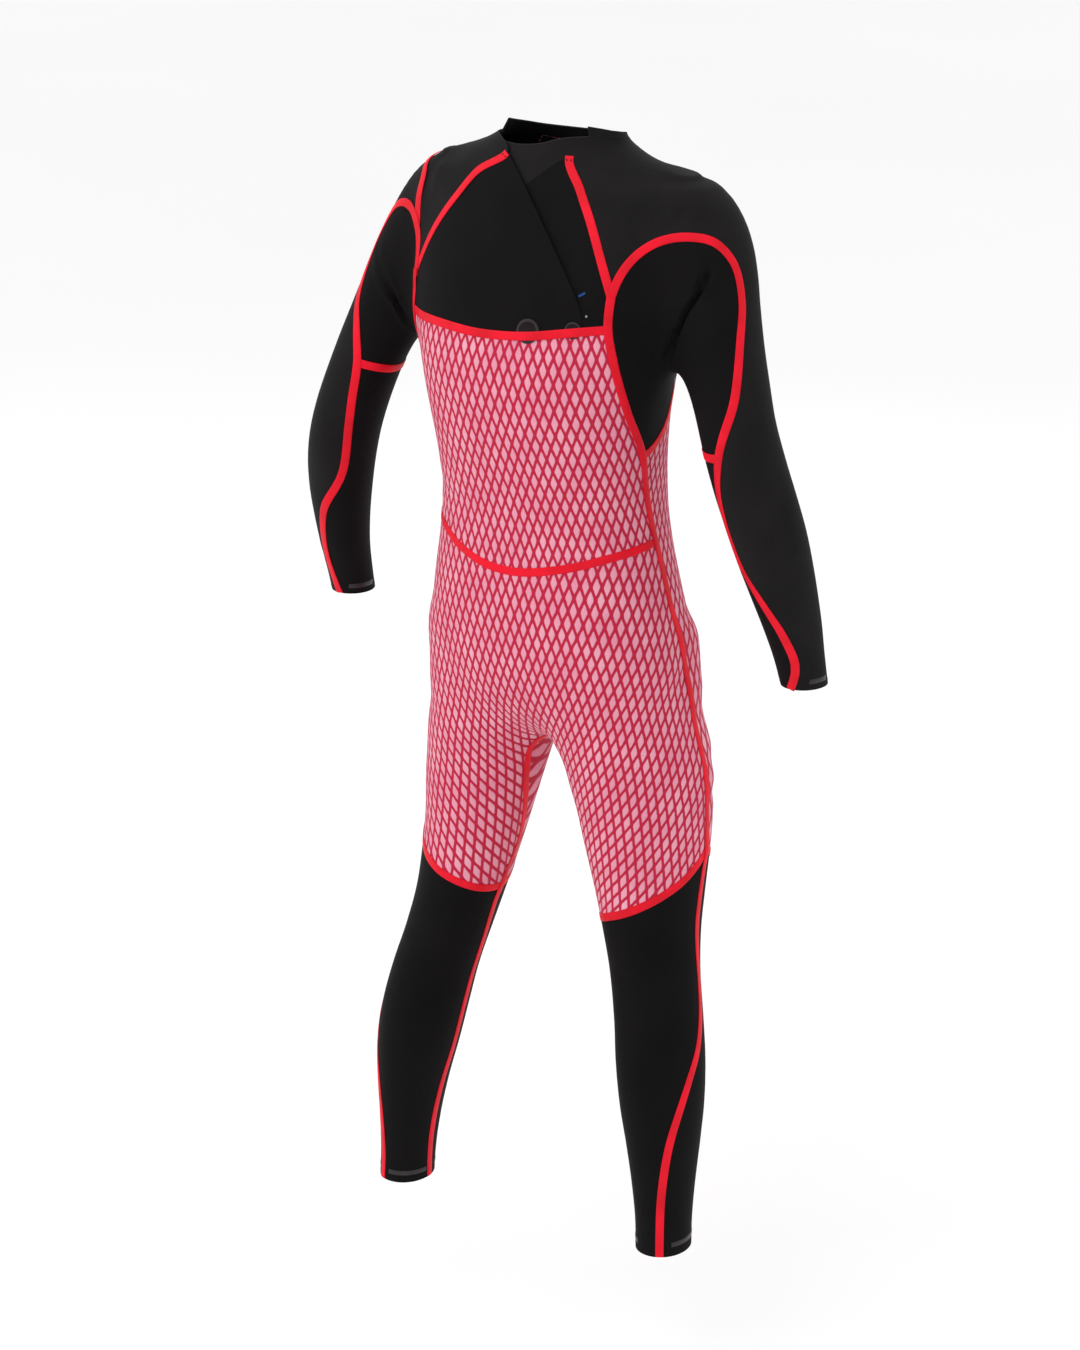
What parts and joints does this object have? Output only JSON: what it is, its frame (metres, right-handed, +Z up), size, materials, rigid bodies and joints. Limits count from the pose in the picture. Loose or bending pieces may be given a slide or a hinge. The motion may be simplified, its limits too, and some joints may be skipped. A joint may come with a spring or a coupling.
{
  "type": "steamer wetsuit",
  "caption": "Full-length foam rubber wetsuit turned inside out, open at neck, wrists and ankles, with taped seams, a plush lining and a slanting back closure.",
  "frame": {"origin": "between the shoulders, where the wearer carries the suit, 1.48 m above the floor it would be worn on", "axes": "+Z up along the body, +X to the wearer's left, -Y to the wearer's front"},
  "size_m": [0.6828, 0.2565, 1.3437],
  "materials": {
    "charcoal_jersey": "matt black knitted face on foam rubber, slightly grey, with a fine sheen",
    "black_jersey": "matt deep black knitted face on foam rubber",
    "plush": "heathered pink and white pile with a crimson lattice of upright lozenges",
    "tape": "bright red seam tape, satin",
    "patch": "dark glossy round patch",
    "bead": "pale matt end bead",
    "tag": "small blue woven tag"
  },
  "bodies": {
    "root": {"back_body": "plush", "seat": "plush", "front_body": "plush", "sleeve_left": "charcoal_jersey", "sleeve_right": "charcoal_jersey", "shoulder_left": "charcoal_jersey", "collar": "charcoal_jersey", "underarm_left": "black_jersey", "underarm_right": "black_jersey", "forearm_left": "black_jersey", "forearm_right": "black_jersey", "yoke_over": "black_jersey", "yoke_under": "black_jersey", "calf_left": "black_jersey", "calf_right": "black_jersey", "shin_left": "black_jersey", "shin_right": "black_jersey", "tape_side_left": "tape", "tape_side_right": "tape", "tape_arm_back_left": "tape", "tape_arm_back_right": "tape", "tape_arm_front_left": "tape", "tape_arm_front_right": "tape", "tape_inner_leg": "tape", "tape_raglan_back_left": "tape", "tape_raglan_back_right": "tape", "tape_raglan_front_left": "tape", "tape_raglan_front_right": "tape", "tape_elbow_left": "tape", "tape_elbow_right": "tape", "tape_thigh_back_left": "tape", "tape_thigh_back_right": "tape", "tape_thigh_front_left": "tape", "tape_thigh_front_right": "tape", "tape_yoke": "tape", "tape_waist": "tape", "tape_shoulder_left": "tape", "patch_wide": "patch", "patch_small": "patch", "closure_bead": "bead", "closure_tag": "tag"}
  },
  "joints": []
}
